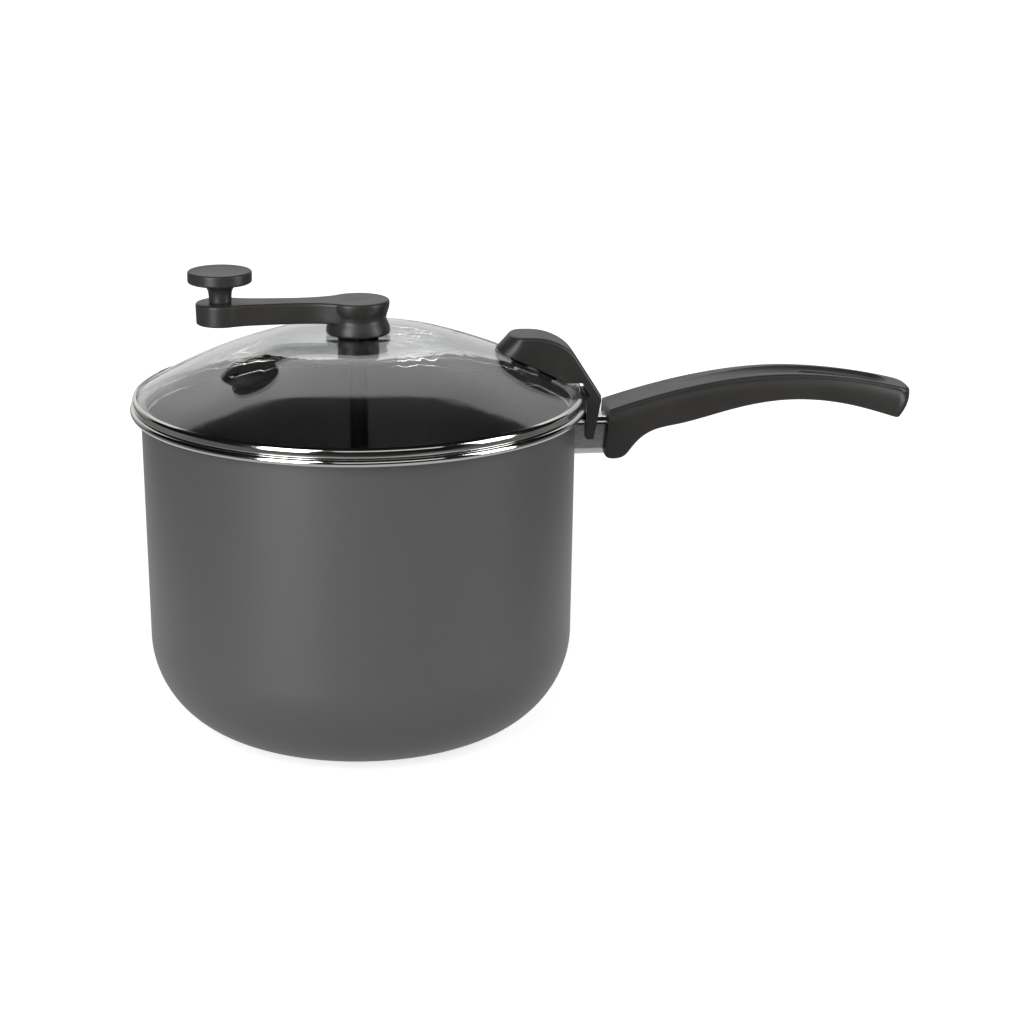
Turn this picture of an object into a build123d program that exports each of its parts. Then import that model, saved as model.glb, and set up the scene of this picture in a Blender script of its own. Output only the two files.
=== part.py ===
from build123d import *
import math
import os

# Hand cranked stovetop popcorn popper: a round pan with a curved grip, a domed glass lid in a
# steel band, and a crank that turns a stirrer through the lid. Millimetres, +Z up, origin at the
# centre of the pan's flat base, +X along the grip. At rest the crank arm points along -X.

# ---------------------------------------------------------------- pan
mouth_r = 110.0  # outside of the wall, just under the rolled rim
wall_taper = 1.6  # the wall closes in this much from the mouth to the round bottom corner
corner_r = 50.0  # round bottom corner, outside
sheet = 2.2  # drawn wall and floor
bead_r = 2.0  # rolled rim, section radius
bead_overhang = 3.4  # centre of the rolled rim, outside the wall
bead_z = 167.9  # centre of the rolled rim
bead_curl = 198.0  # where the wall meets the rolled rim's section, degrees
neck_drop = 2.8  # the wall leaves its straight run this far under the rim's centre

# ---------------------------------------------------------------- lid
seat_gap = 0.3  # between the lid band and the rolled rim
band_sheet = 0.6
band_overhang = 0.7  # outside of the band, past the rolled rim's centre
band_lip = 0.9  # width of the lip that lies on the glass
band_bend = 0.8  # outside radius of the band's folded corners
band_shoulder = 1.2  # the band's outside turns upright this far under the edge of the glass
skirt_clearance = 0.75  # between the band's skirt and the inside of the pan
skirt_drop = 7.0  # depth of the skirt under the band's shelf
glass_thickness = 3.4
glass_band_gap = 0.6  # between the edge of the glass and the inside of the band
glass_seat = 0.1  # between the glass and the band's lip
dome_lift = 4.4  # base height of the dome's formula, above the band's underside
dome_edge = 0.9  # the glass runs this far past the radius where the formula meets its base
dome_rise = 34.8
dome_power = 1.87
crown_drop = 4.8  # the dome's flat middle lies this far under the formula's top
crown_r = 24.0
blend_r = 46.0  # the dome runs on its formula from here outwards
dome_stations = 6

# ---------------------------------------------------------------- bearing in the lid's middle
glass_hole_gap = 0.5  # round the bush
bush_wall = 2.35
bush_flange_width = 4.5  # past the bush's sleeve
bush_flange = 2.0
gasket = 1.0
nut_wall = 3.3
nut_height = 7.6
nut_pocket_width = 1.4  # past the bush's sleeve
nut_pocket = 4.2
nut_chamfer = 0.6
thread_gap = 0.05
washer_sheet = 0.8
ring_sheet = 1.0
ring_room = 0.8  # round the retaining ring, in the nut's pocket
ring_mouth = 5.0  # opening of the retaining ring
groove_depth = 0.9
axial_play = 0.3

# ---------------------------------------------------------------- crank arm
crank_length = 68.8  # from the shaft's axis to the knob's axis
arm_end_r = 12.5
arm_waist = 7.8  # half the arm's width at its narrowest
arm_waist_at = 0.66  # place of the waist, as a share of the crank's length
arm_end_angle = 65.2  # degrees from the arm's line, where its sides leave the knob's end
head_angle = 57.0  # the same at the head
head_r = 16.0
head_inset = 0.25  # the arm's sides run this far inside the head's own surface
arm_draft = 0.3  # the arm's sides close in this much towards its underside
arm_lift = 6.8  # underside of the arm above the dome's flat middle
arm_thickness = 10.9
arm_edge = 1.3  # rounding of the arm's upper edges
arm_lower_edge = 0.8
barrel_r = 16.2
barrel_waist_r = 14.3
barrel_waist_height = 7.5  # above the barrel's lower face
barrel_gap = 0.4  # between the barrel and the glass
barrel_lip = 1.2
barrel_pocket_gap = 0.7  # round the bush's flange, inside the barrel

# ---------------------------------------------------------------- shaft and stirrer
shaft_r = 4.6
running_gap = 0.05
shaft_flat = 1.0  # depth of the flat on the shaft's driving end
shaft_flat_length = 9.0
shaft_cover = 3.7  # plastic over the shaft's end, in the head
socket_gap = 0.03
stirrer_wall = 3.4
stirrer_hub_height = 15.0
floor_gap = 0.8  # under the stirrer's hub
wire_r = 1.5
wire_floor_gap = 1.2
wire_root_height = 7.0  # above the hub's underside
wire_lead = 6.0  # straight run of the wire out of the hub
wire_dip = 10.0  # length over which it comes down to the floor
wire_bend_r = 6.0
wire_rise = 52.0  # degrees that the wire climbs round the pan's bottom corner
wire_socket = 2.6  # depth of the wires' ends inside the hub
stirrer_pin_r = 1.25
stirrer_pin_drop = 3.5  # under the hub's top

# ---------------------------------------------------------------- knob
knob_r = 16.1
knob_stem_r = 5.7
knob_bottom_gap = 0.5
knob_height = 15.5
knob_rim = 6.0  # height of the disc's edge
knob_round = 1.1
knob_dish = 1.1
knob_stem = 1.0  # straight part of the stem
knob_neck = (7.4, 7.4)  # radius and height of the flare where it opens out
knob_flare_r = 12.8  # where the flare meets the underside of the disc
knob_flare_run = (1, 0.15)  # direction of the flare there
knob_dish_run = (-1, -0.25)  # direction of the dished top where it leaves the rim
knob_pin_r = 3.0
knob_pin_neck_r = 2.3
knob_pin_depth = 8.0  # length pressed into the arm
knob_pin_reach = 10.5  # length inside the knob
knob_pin_groove = 1.6
knob_pin_groove_at = 6.0
knob_washer_r = 5.2
knob_washer = 0.4

# ---------------------------------------------------------------- lid clip
clip_width = 24.0
clip_pad = 0.6  # soft pad between the clip and the glass
clip_nose_length = 15.0  # the sides start to close in this far behind the nose
# Places on the clip's side: outwards from the rolled rim's outside, and up from its top.
clip_nose_tip = (-46.8, 24.4)
clip_nose_top = (-38.6, 32.7)
clip_shoulder = (-18.0, 31.0)
clip_brow = (-9.0, 25.9)
clip_slope_start = (-4.2, 20.1)
clip_knee = (7.3, 1.9)
clip_knee_height = 2.4
clip_arch = (-8.0, 8.7)
clip_arch_end = (-2.2, 8.7)
clip_leg_root = (1.6, 1.4)
clip_foot = (3.4, -20.8)
clip_rim_clearance = 0.3
clip_edge = 1.8
fork_clearance = 0.4  # each side of the flame guard
fork_head = 2.4  # above the flame guard
clip_screw_r = 2.0
clip_screw_insets = (32.4, 18.4)  # inwards from the rolled rim's outside
clip_screw_grip = 7.5  # length inside the clip
clip_screw_hole_gap = 0.5  # round the screws, in the glass
clip_pad_inset = 1.2  # the pad ends this far inside the arch
clip_pad_side_inset = 2.4  # and this far inside the clip's sides
screw_head_r = 3.8
screw_head = 2.2
screw_head_round = 0.7
clip_washer_r = 5.5
clip_washer_seat = 0.1  # the flat washer touches the curved glass only at its rim

# ---------------------------------------------------------------- handle
guard_width = 16.8
guard_height = 19.8
guard_drop = 18.2  # its centre, under the rolled rim's centre
guard_corner = 3.7
guard_sheet = 1.2
guard_gap = 0.1
bracket_pad = 1.6
bracket_gap = 0.05
bracket_width = 12.0
bracket_bar = 4.0
bracket_rise = 2.3  # above the guard's centre
bracket_reach = 14.3  # into the grip
bracket_hole_gap = 0.1
# Places on the grip's side: outwards from the pan's wall at its mouth, and up from the
# guard's centre.
grip_face_top = (17.0, 14.9)
grip_face_bottom = (14.7, -9.0)
grip_top_line = ((41.0, 21.8), (71.0, 28.0), (103.0, 30.9), (136.0, 28.8), (162.0, 24.2))
grip_top_end = (184.0, 18.4)  # past the grip's end
grip_end = (175.2, 18.0)
grip_end_bow = 0.033  # the end falls back by this times the square of the height from there
grip_under_end = (184.0, 0.6)  # past the grip's end
grip_under_line = ((140.0, 14.3), (108.0, 17.3), (78.0, 12.6), (52.0, 6.2), (38.5, 2.9), (32.2, -1.3))
under_run = (-0.95, 0.3)  # direction of the underside where it starts past the grip's end
heel_back = (26.6, -7.9)
heel_fall = (-0.62, -0.78)  # direction of the underside where it turns into the heel
heel_rise = (-0.5, 0.86)  # direction of the heel where it meets the grip's face
heel_bottom = (19.8, -11.0)
grip_root_width = 27.4
grip_tip_width = 23.6
grip_tip_r = 6.5  # rounding of the end's corners in plan
grip_tip_bulge = 1.5  # the end stands out this far between its corners
grip_edge = 1.6
grip_lower_edge = 1.2
grip_stations = 8  # sections that the grip's plan is drawn through
thumb_groove_r = 14.0
thumb_groove = 2.0
thumb_groove_path_r = 240.0
thumb_groove_half = 57.0  # from its middle to the centre of either round end
thumb_groove_shift = -5.0  # its middle, from the highest point of the top line
slot_inset = 39.9  # its middle, from the grip's end
slot_length = 37.0
slot_width = 8.0
slot_edge = 0.8  # rounding of the slot's upper rim
handle_screw_inset = 5.8  # from the grip's face
handle_screw_r = 2.2
handle_screw_head_r = 3.6
handle_screw_head = 2.6
handle_screw_head_round = 0.8
handle_screw_head_gap = 0.4  # round the screw's head, in the heel
handle_screw_sink = 1.6  # from the heel's underside to the screw's head
handle_washer_sheet = 1.0

# ---------------------------------------------------------------- derived sizes
FROM_BELOW = (Align.CENTER, Align.CENTER, Align.MIN)
ALONG_X = (Align.MIN, Align.CENTER, Align.CENTER)
PAST = 1.0  # how far a cutting tool runs past what it cuts
LEVEL = 0.01  # heights and places this close count as the same

foot_r = mouth_r - wall_taper
base_r = foot_r - corner_r
bead_centre_r = mouth_r + bead_overhang
bead_outer_r = bead_centre_r + bead_r
rim_z = bead_z + bead_r
neck_z = bead_z - neck_drop

band_bottom_z = rim_z + seat_gap
band_r = bead_centre_r + band_overhang
glass_edge_r = band_r - band_sheet - glass_band_gap
band_lip_r = glass_edge_r - band_lip
dome_r = glass_edge_r - dome_edge
dome_base_z = band_bottom_z + dome_lift
crown_z = dome_base_z + dome_rise - crown_drop
crown_under_z = crown_z - glass_thickness

bush_r = shaft_r + running_gap + bush_wall
bush_flange_r = bush_r + bush_flange_width
glass_hole_r = bush_r + glass_hole_gap
nut_r = bush_r + nut_wall
nut_pocket_r = bush_r + nut_pocket_width
ring_r = nut_pocket_r - ring_room
bush_top_z = crown_z + gasket + bush_flange
nut_top_z = crown_under_z - gasket
nut_bottom_z = nut_top_z - nut_height
bush_bottom_z = nut_bottom_z + nut_pocket
thrust_top_z = bush_bottom_z - axial_play
ring_top_z = thrust_top_z - washer_sheet

barrel_bottom_z = crown_z + barrel_gap
barrel_waist_z = barrel_bottom_z + barrel_waist_height
arm_bottom_z = crown_z + arm_lift
arm_top_z = arm_bottom_z + arm_thickness
shaft_top_z = arm_top_z - shaft_cover
knob_bottom_z = arm_top_z + knob_bottom_gap
knob_top_z = knob_bottom_z + knob_height

stirrer_hub_r = shaft_r + stirrer_wall
stirrer_bottom_z = sheet + floor_gap
stirrer_top_z = stirrer_bottom_z + stirrer_hub_height
stirrer_pin_z = stirrer_top_z - stirrer_pin_drop
wire_root_z = stirrer_bottom_z + wire_root_height
wire_root_x = stirrer_hub_r + wire_lead
wire_dip_x = wire_root_x + wire_dip
wire_z = sheet + wire_floor_gap + wire_r

guard_z = bead_z - guard_drop
guard_top_z = guard_z + guard_height / 2
bracket_z = guard_z + bracket_rise


def from_rim(place):
    """(x, z) of a place given outwards from the rolled rim's outside and up from its top."""
    return (bead_outer_r + place[0], rim_z + place[1])


def from_guard(place):
    """(x, z) of a place given outwards from the pan's mouth and up from the guard's centre."""
    return (mouth_r + place[0], guard_z + place[1])


nose_tip_x, nose_tip_z = from_rim(clip_nose_tip)
nose_top_x, clip_top_z = from_rim(clip_nose_top)
knee_x, knee_z = from_rim(clip_knee)
arch_x, arch_z = from_rim(clip_arch)
arch_end_x, arch_end_z = from_rim(clip_arch_end)
leg_root_x, leg_root_z = from_rim(clip_leg_root)
foot_x, foot_z = from_rim(clip_foot)
clip_screw_places = [bead_outer_r - inset for inset in clip_screw_insets]

face_top = from_guard(grip_face_top)
face_bottom = from_guard(grip_face_bottom)
grip_crest = [from_guard(place) for place in grip_top_line]
grip_belly = [from_guard(place) for place in grip_under_line]
tip_x, tip_z = from_guard(grip_end)
heel_x, heel_z = from_guard(heel_bottom)
thumb_crest = grip_crest[2]
slot_centre_x = tip_x - slot_inset
bracket_reach_x = face_bottom[0] + bracket_reach
handle_screw_x = face_bottom[0] + handle_screw_inset


def inside(pieces):
    """Face inside a closed outline that is given piece by piece, in order."""
    outline = pieces[0]
    for piece in pieces[1:]:
        outline += piece
    return make_face(outline)


def turned(outline):
    """Solid of revolution about the Z axis from an outline's pieces in (radius, height)."""
    return revolve(Plane.XZ * inside(outline), axis=Axis.Z)


def ring(outer_r, inner_r, bottom, top):
    """Plain ring about the Z axis, or a disc if its inner radius is 0."""
    height = top - bottom
    blank = Cylinder(outer_r, height, align=FROM_BELOW)
    if inner_r > 0:
        blank -= Cylinder(inner_r, height, align=FROM_BELOW)
    return Pos(0, 0, bottom) * blank


def wall_r(z):
    """Outside radius of the pan's straight, slightly tapered wall at a height."""
    climb = (z - corner_r) / (neck_z - corner_r)
    return foot_r + wall_taper * climb


def side_plate(outline, width):
    """Solid from an outline's pieces in the XZ plane, centred across the handle's mid plane."""
    return extrude(Plane.XZ.offset(-width / 2) * inside(outline), amount=width)


# ---------------------------------------------------------------- pan
def pan_body():
    """Drawn pan: flat base, wide round corner, tapered wall flared into a rolled rim."""
    curl = math.radians(bead_curl)
    neck = (mouth_r, neck_z)
    inner_neck = (mouth_r - sheet, neck_z - sheet / 2)
    curl_start = (bead_centre_r + bead_r * math.cos(curl), bead_z + bead_r * math.sin(curl))
    bead_top = (bead_centre_r, rim_z)
    centre = (base_r, corner_r)
    full_turn = 360.0
    return turned(
        [
            Line((0, 0), (base_r, 0)),
            CenterArc(centre, corner_r, -90, 90),
            Line((foot_r, corner_r), neck),
            TangentArc(neck, curl_start, tangent=(0, 1)),
            CenterArc((bead_centre_r, bead_z), bead_r, bead_curl, full_turn + 90 - bead_curl),
            Spline(bead_top, inner_neck, tangents=[(-1, 0), (0, -1)]),
            Line(inner_neck, (foot_r - sheet, corner_r)),
            CenterArc(centre, corner_r - sheet, 0, -90),
            Polyline((base_r, sheet), (0, sheet), (0, 0)),
        ]
    )


# ---------------------------------------------------------------- lid
def dome_z(r):
    """Height of the dome's outside on its formula."""
    return dome_base_z + dome_rise * (1 - (r / dome_r) ** dome_power)


def dome_slope(r):
    """Rise over run of the dome's outside, negative because it falls outwards."""
    return -dome_rise * dome_power / dome_r * (r / dome_r) ** (dome_power - 1)


def dome_point(r, depth):
    """Point square to the dome's outside at radius r, a depth under it (negative: above it)."""
    slope = dome_slope(r)
    steep = math.hypot(1, slope)
    return (r + depth * slope / steep, dome_z(r) - depth / steep)


def dome_curve(start_r, end_r, depth):
    """The dome's section at a depth under its outside, in pieces: flat crown, then the formula."""
    step = (end_r - blend_r) / (dome_stations - 1)
    points = [(crown_r, crown_z - depth)]
    for index in range(dome_stations):
        points.append(dome_point(blend_r + step * index, depth))
    flat = Line((start_r, crown_z - depth), (crown_r, crown_z - depth))
    fall = Spline(points, tangents=[(1, 0), (1, dome_slope(end_r))])
    return [flat, fall]


def below_dome(gap):
    """Space under a skin that floats a gap above the dome's outside."""
    end = dome_point(glass_edge_r, -gap)
    sides = Polyline(end, (end[0], foot_z), (0, foot_z), (0, crown_z + gap))
    return turned([*dome_curve(0, glass_edge_r, -gap), sides])


def clip_screw_plane(place):
    """Plane on the dome's outside at a clip screw, its Z square to the glass."""
    slope = dome_slope(place)
    return Plane(origin=(place, 0, dome_z(place)), x_dir=(1, 0, slope), z_dir=(-slope, 0, 1))


def lid_glass():
    """Tempered dome with a flat crown, holed for the bearing and for the clip's two screws."""
    edge = Line(dome_point(glass_edge_r, 0), dome_point(glass_edge_r, glass_thickness))
    hole_side = Line((glass_hole_r, crown_under_z), (glass_hole_r, crown_z))
    outside = dome_curve(glass_hole_r, glass_edge_r, 0)
    underside = dome_curve(glass_hole_r, glass_edge_r, glass_thickness)
    glass = turned([*outside, edge, *underside, hole_side])
    hole = Cylinder(clip_screw_r + clip_screw_hole_gap, 4 * glass_thickness)
    for place in clip_screw_places:
        glass -= clip_screw_plane(place) * hole
    return glass


def lid_band():
    """Steel band folded round the edge of the glass, with a shelf and a skirt inside the pan."""
    outer_skirt_r = mouth_r - sheet - skirt_clearance
    inner_skirt_r = outer_skirt_r - band_sheet
    inner_band_r = band_r - band_sheet
    skirt_bottom_z = band_bottom_z - skirt_drop
    inner_bend = band_bend - band_sheet
    bend_z = band_bottom_z + band_bend
    fold_r = outer_skirt_r + inner_bend
    fold_z = band_bottom_z - inner_bend
    shelf_z = band_bottom_z + band_sheet
    shoulder_z = dome_z(glass_edge_r) - band_shoulder
    lip_tip = dome_point(band_lip_r, -glass_seat - band_sheet)
    lip_root = dome_point(glass_edge_r, -glass_seat - band_sheet)
    under_root = dome_point(glass_edge_r, -glass_seat)
    under_tip = dome_point(band_lip_r, -glass_seat)
    fall = (1, dome_slope(glass_edge_r))
    climb = (-fall[0], -fall[1])
    return turned(
        [
            Line(lip_tip, lip_root),
            Spline(lip_root, (band_r, shoulder_z), tangents=[fall, (0, -1)]),
            Line((band_r, shoulder_z), (band_r, bend_z)),
            CenterArc((band_r - band_bend, bend_z), band_bend, 0, -90),
            Line((band_r - band_bend, band_bottom_z), (fold_r, band_bottom_z)),
            CenterArc((fold_r, fold_z), inner_bend, 90, 90),
            Line((outer_skirt_r, fold_z), (outer_skirt_r, skirt_bottom_z)),
            Line((outer_skirt_r, skirt_bottom_z), (inner_skirt_r, skirt_bottom_z)),
            Line((inner_skirt_r, skirt_bottom_z), (inner_skirt_r, fold_z)),
            CenterArc((fold_r, fold_z), band_bend, 180, -90),
            Line((fold_r, shelf_z), (band_r - band_bend, shelf_z)),
            CenterArc((band_r - band_bend, bend_z), inner_bend, -90, 90),
            Line((inner_band_r, bend_z), (inner_band_r, shoulder_z)),
            Spline((inner_band_r, shoulder_z), under_root, tangents=[(0, 1), climb]),
            Polyline(under_root, under_tip, lip_tip),
        ]
    )


# ---------------------------------------------------------------- lid clip
def clip_side():
    """Side outline of the clip: nose, long brow, slope down to the knee, leg and arch."""
    wall_x = wall_r(foot_z)
    nose_top = (nose_top_x, clip_top_z)
    slope_start = from_rim(clip_slope_start)
    slope = (knee_x - slope_start[0], knee_z - slope_start[1])
    brow_line = [nose_top, from_rim(clip_shoulder), from_rim(clip_brow), slope_start]
    brow = Spline(brow_line, tangents=[(1, 0), slope])
    rest = Polyline(
        slope_start,
        (knee_x, knee_z),
        (knee_x, knee_z - clip_knee_height),
        (foot_x, foot_z),
        (wall_x, foot_z),
        (wall_x, leg_root_z),
        (leg_root_x, leg_root_z),
        (arch_end_x, arch_end_z),
        (nose_tip_x, arch_z),
        (nose_tip_x, nose_tip_z),
        nose_top,
    )
    return [brow, rest]


def clip_plan(z):
    """Plan of the clip at a height: straight sides that close in to a round nose."""
    lean = (nose_top_x - nose_tip_x) / (clip_top_z - nose_tip_z)
    tip_x = nose_tip_x + lean * (z - nose_tip_z)
    root_x = nose_tip_x + clip_nose_length
    half = clip_width / 2
    far_x = knee_x + clip_nose_length
    nose = EllipticalCenterArc((root_x, 0), root_x - tip_x, half, start_angle=90, arc_size=180)
    sides = Polyline((root_x, -half), (far_x, -half), (far_x, half), (root_x, half))
    return Pos(0, 0, z) * inside([nose, sides])


def lid_clip():
    """Moulded thumb rest: bears on the glass, arches over the rim, and its fork holds the guard."""
    nose = loft([clip_plan(arch_z), clip_plan(clip_top_z + PAST)])
    legs = Box(clip_width, clip_width, 2 * (arch_z - foot_z) + PAST, align=ALONG_X)
    clip = side_plate(clip_side(), clip_width) & (nose + Pos(arch_x, 0, arch_z) * legs)
    clip = fillet([edge for edge in clip.edges() if on_clip_brow(edge)], clip_edge)
    clip -= below_dome(clip_pad)
    clip -= ring(bead_outer_r + clip_rim_clearance, 0, foot_z - PAST, leg_root_z + PAST)
    fork_width = guard_width + 2 * fork_clearance
    fork_top_z = guard_top_z + fork_head
    fork = Box(2 * clip_width, fork_width, 2 * (fork_top_z - foot_z))
    clip -= Pos(knee_x, 0, foot_z) * fork
    bore = Cylinder(clip_screw_r + thread_gap, clip_screw_grip + axial_play, align=FROM_BELOW)
    for place in clip_screw_places:
        clip -= clip_screw_plane(place) * bore
    return clip


def on_clip_brow(edge):
    """True for the edges round the clip's upper face, from the nose to the knee."""
    middle = edge @ 0.5
    across = abs(middle.Y)
    above_glass = middle.Z > dome_z(min(middle.X, dome_r)) + clip_edge
    on_side = abs(across - clip_width / 2) < LEVEL and above_glass and edge.length > clip_edge
    on_nose = middle.Z > clip_top_z - LEVEL and across < clip_width / 2 - LEVEL
    return middle.Z > knee_z + LEVEL and middle.X > nose_tip_x and (on_side or on_nose)


def clip_gasket():
    """Soft pad between the clip and the glass, set in from the clip's edges."""
    nose_x = nose_tip_x + clip_pad_side_inset
    end_x = arch_x - clip_pad_inset
    width = clip_width - 2 * clip_pad_side_inset
    height = crown_z - foot_z
    slot = SlotOverall(2 * (end_x - nose_x), width)
    pad = Pos(end_x, 0, foot_z) * extrude(slot, amount=height)
    pad &= below_dome(clip_pad) - below_dome(running_gap)
    pad -= Pos(end_x, 0, foot_z) * Box(height, clip_width, 2 * height, align=ALONG_X)
    hole = Cylinder(clip_screw_r + thread_gap, glass_thickness)
    for place in clip_screw_places:
        pad -= clip_screw_plane(place) * hole
    return pad


def clip_screws():
    """Two screws from under the glass into the clip."""
    screws = []
    under = -glass_thickness - clip_washer_seat - washer_sheet
    head = Pos(0, 0, under - screw_head) * Cylinder(screw_head_r, screw_head, align=FROM_BELOW)
    head = fillet(head.edges().sort_by(Axis.Z)[0], screw_head_round)
    shank = Pos(0, 0, under) * Cylinder(clip_screw_r, clip_screw_grip - under, align=FROM_BELOW)
    for place in clip_screw_places:
        screws.append(clip_screw_plane(place) * (head + shank))
    return Compound(children=screws)


def clip_washers():
    """Two washers that spread the screws' load on the glass."""
    washers = []
    high = -glass_thickness - clip_washer_seat
    washer = ring(clip_washer_r, clip_screw_r + thread_gap, high - washer_sheet, high)
    for place in clip_screw_places:
        washers.append(clip_screw_plane(place) * washer)
    return Compound(children=washers)


# ---------------------------------------------------------------- bearing
def hub_bush():
    """Flanged bush through the glass; the shaft runs in it."""
    bore_r = shaft_r + running_gap
    sleeve = ring(bush_r, bore_r, bush_bottom_z, bush_top_z)
    flange = ring(bush_flange_r, bore_r, bush_top_z - bush_flange, bush_top_z)
    return sleeve + flange


def upper_gasket():
    """Silicone ring between the bush's flange and the glass."""
    return ring(bush_flange_r, bush_r + thread_gap, crown_z, crown_z + gasket)


def lower_gasket():
    """Silicone ring between the glass and the nut."""
    return ring(nut_r, bush_r + thread_gap, crown_under_z - gasket, crown_under_z)


def hub_nut():
    """Round nut under the glass; its pocket hides the shaft's retaining ring."""
    nut = ring(nut_r, bush_r + thread_gap, nut_bottom_z, nut_top_z)
    nut = chamfer(nut.edges().group_by(Axis.Z)[0].sort_by(SortBy.RADIUS)[-1], nut_chamfer)
    return nut - ring(nut_pocket_r, bush_r, nut_bottom_z, bush_bottom_z)


def thrust_washer():
    """Washer between the bush's lower end and the retaining ring."""
    return ring(ring_r, shaft_r + running_gap, ring_top_z, thrust_top_z)


def retaining_ring():
    """Open ring that snaps into the shaft's groove and carries the crank when the lid is lifted."""
    blank = ring(ring_r, shaft_r - groove_depth + running_gap, ring_top_z - ring_sheet, ring_top_z)
    mouth = Pos(0, ring_r, ring_top_z - ring_sheet / 2) * Box(ring_mouth, 2 * ring_r, 2 * ring_sheet)
    return blank - mouth


# ---------------------------------------------------------------- crank
def shaft_blank(gap, bottom_z, top_z):
    """Round shaft with a driving flat over its upper end, grown by a gap all round."""
    rod = Pos(0, 0, bottom_z) * Cylinder(shaft_r + gap, top_z - bottom_z, align=FROM_BELOW)
    flat_y = shaft_r - shaft_flat + gap
    cut = Pos(0, flat_y + shaft_r, top_z) * Box(4 * shaft_r, 2 * shaft_r, 2 * shaft_flat_length)
    return rod - cut


def drive_shaft():
    """Shaft from the crank arm down to the stirrer, with a groove for its retaining ring."""
    shaft = shaft_blank(0, stirrer_bottom_z, shaft_top_z)
    groove_low = ring_top_z - ring_sheet - running_gap
    groove = ring(2 * shaft_r, shaft_r - groove_depth, groove_low, ring_top_z + running_gap)
    return shaft - groove - cross_bore(4 * shaft_r)


def cross_bore(length):
    """Tool for the cross pin's hole, along Y through the shaft's axis."""
    return Pos(0, 0, stirrer_pin_z) * Rot(90, 0, 0) * Cylinder(stirrer_pin_r + socket_gap, length)


def arm_plan(z, end_r, waist, head):
    """Plan of the arm at a height: round knob end, slim waist, round head."""
    knob_x = -crank_length
    end_turn = math.radians(arm_end_angle)
    head_turn = math.radians(head_angle)
    leave = (math.sin(end_turn), -math.cos(end_turn))
    arrive = (math.sin(head_turn), math.cos(head_turn))
    end_side = (knob_x + end_r * math.cos(end_turn), end_r * math.sin(end_turn))
    head_side = (-head * math.cos(head_turn), head * math.sin(head_turn))
    far = Spline(end_side, (knob_x * arm_waist_at, waist), head_side, tangents=[leave, arrive])
    end_cap = ThreePointArc(end_side, (knob_x - end_r, 0), (end_side[0], -end_side[1]))
    head_cap = ThreePointArc(head_side, (head, 0), (head_side[0], -head_side[1]))
    near = mirror(far, about=Plane.XZ)
    return Pos(0, 0, z) * inside([far, end_cap, head_cap, near])


def barrel_outline():
    """Half section of the head and barrel: waisted side, round lip, flat top."""
    lip_r = barrel_r - barrel_lip
    lip_z = barrel_bottom_z + barrel_lip
    crown = head_r - arm_edge
    shoulder_z = arm_top_z - arm_edge
    side = [(barrel_r, lip_z), (barrel_waist_r, barrel_waist_z), (head_r, shoulder_z)]
    return [
        Line((0, barrel_bottom_z), (lip_r, barrel_bottom_z)),
        CenterArc((lip_r, lip_z), barrel_lip, -90, 90),
        Spline(side, tangents=[(0, 1), (0, 1)]),
        CenterArc((crown, shoulder_z), arm_edge, 0, 90),
        Polyline((crown, arm_top_z), (0, arm_top_z), (0, barrel_bottom_z)),
    ]


def crank_arm():
    """Moulded arm that grows out of a waisted barrel, sockets for the shaft and the knob's pin."""
    low = arm_plan(
        arm_bottom_z,
        arm_end_r - arm_draft,
        arm_waist - arm_draft,
        barrel_waist_r - head_inset,
    )
    high = arm_plan(arm_top_z, arm_end_r, arm_waist, head_r - head_inset)
    arm = loft([low, high])
    arm = fillet(arm.faces().sort_by(Axis.Z)[-1].edges(), arm_edge)
    arm = fillet(arm.faces().sort_by(Axis.Z)[0].edges(), arm_lower_edge)
    arm += turned(barrel_outline())
    pocket_r = bush_flange_r + barrel_pocket_gap
    arm -= ring(pocket_r, 0, barrel_bottom_z - PAST, bush_top_z + barrel_pocket_gap)
    arm -= shaft_blank(socket_gap, barrel_bottom_z, shaft_top_z + socket_gap)
    pin_socket = Cylinder(knob_pin_r + socket_gap, 2 * knob_pin_depth)
    return arm - Pos(-crank_length, 0, arm_top_z) * pin_socket


def stirrer_hub():
    """Boss pinned to the shaft, with two sockets for the wires."""
    hub = ring(stirrer_hub_r, shaft_r + socket_gap, stirrer_bottom_z, stirrer_top_z)
    hub = chamfer(hub.edges().group_by(Axis.Z)[-1].sort_by(SortBy.RADIUS)[-1], nut_chamfer)
    socket = Rot(0, 90, 0) * Cylinder(wire_r + socket_gap, stirrer_hub_r, align=FROM_BELOW)
    socket = Pos(stirrer_hub_r - wire_socket, 0, wire_root_z) * socket
    hub -= socket
    hub -= Rot(0, 0, 180) * socket
    return hub - cross_bore(4 * stirrer_hub_r)


def stirrer_wire(turn):
    """Wire that dips to the floor and climbs the pan's round corner."""
    start_x = stirrer_hub_r - wire_socket + socket_gap
    run = FilletPolyline(
        (start_x, wire_root_z),
        (wire_root_x, wire_root_z),
        (wire_dip_x, wire_z),
        (base_r, wire_z),
        radius=wire_bend_r,
    )
    climb = CenterArc((base_r, corner_r), corner_r - wire_z, -90, wire_rise)
    path = Plane.XZ * (run + climb)
    section = Plane(origin=(start_x, 0, wire_root_z), z_dir=(1, 0, 0)) * Circle(wire_r)
    return Rot(0, 0, turn) * sweep(section, path=path)


def stirrer_pin():
    """Cross pin through the stirrer's hub and the shaft."""
    pin = Cylinder(stirrer_pin_r, 2 * (stirrer_hub_r - running_gap))
    return Pos(0, 0, stirrer_pin_z) * Rot(90, 0, 0) * pin


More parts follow.
